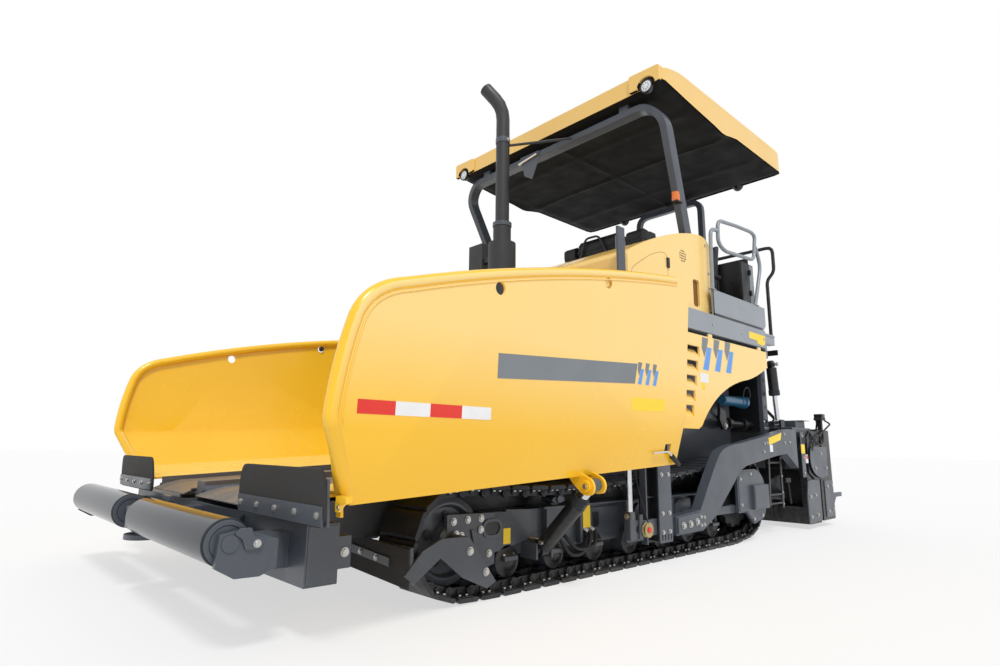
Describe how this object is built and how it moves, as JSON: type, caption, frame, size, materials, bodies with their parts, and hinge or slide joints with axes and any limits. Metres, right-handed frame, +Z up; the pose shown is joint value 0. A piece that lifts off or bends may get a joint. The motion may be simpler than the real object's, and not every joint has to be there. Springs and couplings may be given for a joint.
{
  "type": "asphalt paver",
  "caption": "Tracked asphalt paver with a folding receiving hopper, conveyor tunnel, augers, towed extending screed, operator deck and roof canopy",
  "frame": {"origin": "on the ground under the centre of the whole machine as it stands", "axes": "+X forward to the hopper and push rollers, +Y to the left-hand side, +Z up"},
  "size_m": [6.34, 3.292, 3.8754],
  "materials": {
    "yellow_paint": "gloss machine yellow enamel",
    "canopy_paint": "satin ochre-yellow moulded roof skin",
    "grey_paint": "satin dark blue-grey enamel",
    "pale_grey_paint": "satin mid grey enamel",
    "black_paint": "satin black enamel",
    "heat_paint": "matt heat-proof black",
    "track_steel": "dark oiled crawler steel",
    "worn_steel": "bare wear plate",
    "polished_steel": "turned and polished roller shell",
    "chrome_rod": "hard chrome",
    "rubber": "matt black conveyor rubber",
    "seat_cover": "black vinyl",
    "console_plastic": "ribbed black plastic"
  },
  "bodies": {
    "chassis": {"auger_drive": "grey_paint", "canopy": "canopy_paint", "console": "console_plastic", "deck": "pale_grey_paint", "drive_cover_left": "grey_paint", "drive_cover_right": "grey_paint", "engine": "black_paint", "exhaust": "heat_paint", "front_arch": "black_paint", "front_guard_left": "grey_paint", "front_guard_right": "grey_paint", "guard_rail_left": "black_paint", "guard_rail_right": "black_paint", "hood": "yellow_paint", "hopper_floor": "worn_steel", "idler_left": "track_steel", "idler_right": "track_steel", "lift_mast_left": "grey_paint", "lift_mast_right": "grey_paint", "main_frame": "grey_paint", "push_beam": "grey_paint", "rear_arch": "black_paint", "rear_rail": "black_paint", "seat_bulkhead": "black_paint", "seat_left": "seat_cover", "seat_right": "seat_cover", "sprocket_left": "track_steel", "sprocket_right": "track_steel", "tow_column_left": "grey_paint", "tow_column_right": "grey_paint", "track_frame_left": "grey_paint", "track_frame_right": "grey_paint", "track_left": "track_steel", "track_right": "track_steel", "upper_panel_left": "yellow_paint", "upper_panel_right": "yellow_paint"},
    "hopper_wing_left": {"hopper_wing_left": "yellow_paint", "hopper_flap_left": "rubber"},
    "wing_cylinder_left": {"wing_cylinder_left": "grey_paint"},
    "wing_rod_left": {"wing_rod_left": "chrome_rod"},
    "push_roller_left": {"push_roller_left": "polished_steel"},
    "auger_left": {"auger_left": "worn_steel"},
    "side_door_left": {"side_door_left": "yellow_paint"},
    "screed_extension_left": {"screed_extension_left": "grey_paint"},
    "lift_cylinder_left": {"lift_cylinder_left": "black_paint"},
    "lift_rod_left": {"lift_rod_left": "chrome_rod"},
    "hopper_wing_right": {"hopper_wing_right": "yellow_paint", "hopper_flap_right": "rubber"},
    "wing_cylinder_right": {"wing_cylinder_right": "grey_paint"},
    "wing_rod_right": {"wing_rod_right": "chrome_rod"},
    "push_roller_right": {"push_roller_right": "polished_steel"},
    "auger_right": {"auger_right": "worn_steel"},
    "side_door_right": {"side_door_right": "yellow_paint"},
    "screed_extension_right": {"screed_extension_right": "grey_paint"},
    "lift_cylinder_right": {"lift_cylinder_right": "black_paint"},
    "lift_rod_right": {"lift_rod_right": "chrome_rod"},
    "screed": {"screed_body": "grey_paint", "screed_deck": "black_paint", "tow_arm_left": "grey_paint", "tow_arm_right": "grey_paint"}
  },
  "joints": [
    {"name": "wing_fold_left", "type": "hinge", "parent": "chassis", "child": "hopper_wing_left", "pos_m": [2.83, 0.75, 0.512], "axis": [0.9987, 0, -0.0515], "range_deg": [0, 38]},
    {"name": "wing_cylinder_swing_left", "type": "hinge", "parent": "chassis", "child": "wing_cylinder_left", "pos_m": [1.37952, 1.15, 0.19022], "axis": [0.9987, 0, -0.0515], "range_deg": [0, 31.84]},
    {"name": "wing_rod_slide_left", "type": "slide", "parent": "wing_cylinder_left", "child": "wing_rod_left", "axis": [0.0354, 0.726, 0.6868], "range_m": [0, 0.36375]},
    {"name": "push_roller_spin_left", "type": "hinge", "parent": "chassis", "child": "push_roller_left", "pos_m": [3.085, 0, 0.397], "axis": [0, 1, 0], "continuous": true},
    {"name": "auger_spin_left", "type": "hinge", "parent": "chassis", "child": "auger_left", "pos_m": [-1.8, 0, 0.33], "axis": [0, 1, 0], "continuous": true},
    {"name": "side_door_hinge_left", "type": "hinge", "parent": "chassis", "child": "side_door_left", "pos_m": [0, 1.223, 1.6274], "axis": [1, 0, 0], "range_deg": [0, 75]},
    {"name": "wing_fold_right", "type": "hinge", "parent": "chassis", "child": "hopper_wing_right", "pos_m": [2.83, -0.75, 0.512], "axis": [-0.9987, 0, 0.0515], "range_deg": [0, 38]},
    {"name": "wing_cylinder_swing_right", "type": "hinge", "parent": "chassis", "child": "wing_cylinder_right", "pos_m": [1.37952, -1.15, 0.19022], "axis": [-0.9987, 0, 0.0515], "range_deg": [0, 31.84]},
    {"name": "wing_rod_slide_right", "type": "slide", "parent": "wing_cylinder_right", "child": "wing_rod_right", "axis": [0.0354, -0.726, 0.6868], "range_m": [0, 0.36375]},
    {"name": "push_roller_spin_right", "type": "hinge", "parent": "chassis", "child": "push_roller_right", "pos_m": [3.085, 0, 0.397], "axis": [0, 1, 0], "continuous": true},
    {"name": "auger_spin_right", "type": "hinge", "parent": "chassis", "child": "auger_right", "pos_m": [-1.8, 0, 0.33], "axis": [0, 1, 0], "continuous": true},
    {"name": "side_door_hinge_right", "type": "hinge", "parent": "chassis", "child": "side_door_right", "pos_m": [0, -1.223, 1.6274], "axis": [-1, 0, 0], "range_deg": [0, 75]},
    {"name": "screed_lift", "type": "hinge", "parent": "chassis", "child": "screed", "pos_m": [0.6, 0, 0.24], "axis": [0, 1, 0], "range_deg": [-0.6, 4.5]},
    {"name": "screed_extension_slide_left", "type": "slide", "parent": "screed", "child": "screed_extension_left", "axis": [0, 1, 0], "range_m": [0, 1]},
    {"name": "lift_cylinder_swing_left", "type": "hinge", "parent": "chassis", "child": "lift_cylinder_left", "pos_m": [-1.945, 1.1, 1.54], "axis": [0, 1, 0], "range_deg": [-6.15, 0.86]},
    {"name": "lift_rod_slide_left", "type": "slide", "parent": "lift_cylinder_left", "child": "lift_rod_left", "axis": [0.1075, 0, 0.9942], "range_m": [-0.02806, 0.20723]},
    {"name": "screed_extension_slide_right", "type": "slide", "parent": "screed", "child": "screed_extension_right", "axis": [0, -1, 0], "range_m": [0, 1]},
    {"name": "lift_cylinder_swing_right", "type": "hinge", "parent": "chassis", "child": "lift_cylinder_right", "pos_m": [-1.945, -1.1, 1.54], "axis": [0, 1, 0], "range_deg": [-6.15, 0.86]},
    {"name": "lift_rod_slide_right", "type": "slide", "parent": "lift_cylinder_right", "child": "lift_rod_right", "axis": [0.1075, 0, 0.9942], "range_m": [-0.02806, 0.20723]}
  ],
  "couplings": [
    {"joint": "wing_cylinder_swing_left", "follows": "wing_fold_left", "ratio": 0.83534},
    {"joint": "wing_rod_slide_left", "follows": "wing_fold_left", "m_per_rad": 0.5477},
    {"joint": "wing_cylinder_swing_right", "follows": "wing_fold_right", "ratio": 0.83534},
    {"joint": "wing_rod_slide_right", "follows": "wing_fold_right", "m_per_rad": 0.5477},
    {"joint": "lift_cylinder_swing_left", "follows": "screed_lift", "ratio": -1.3554},
    {"joint": "lift_rod_slide_left", "follows": "screed_lift", "m_per_rad": 2.6322},
    {"joint": "lift_cylinder_swing_right", "follows": "screed_lift", "ratio": -1.3554},
    {"joint": "lift_rod_slide_right", "follows": "screed_lift", "m_per_rad": 2.6322}
  ]
}
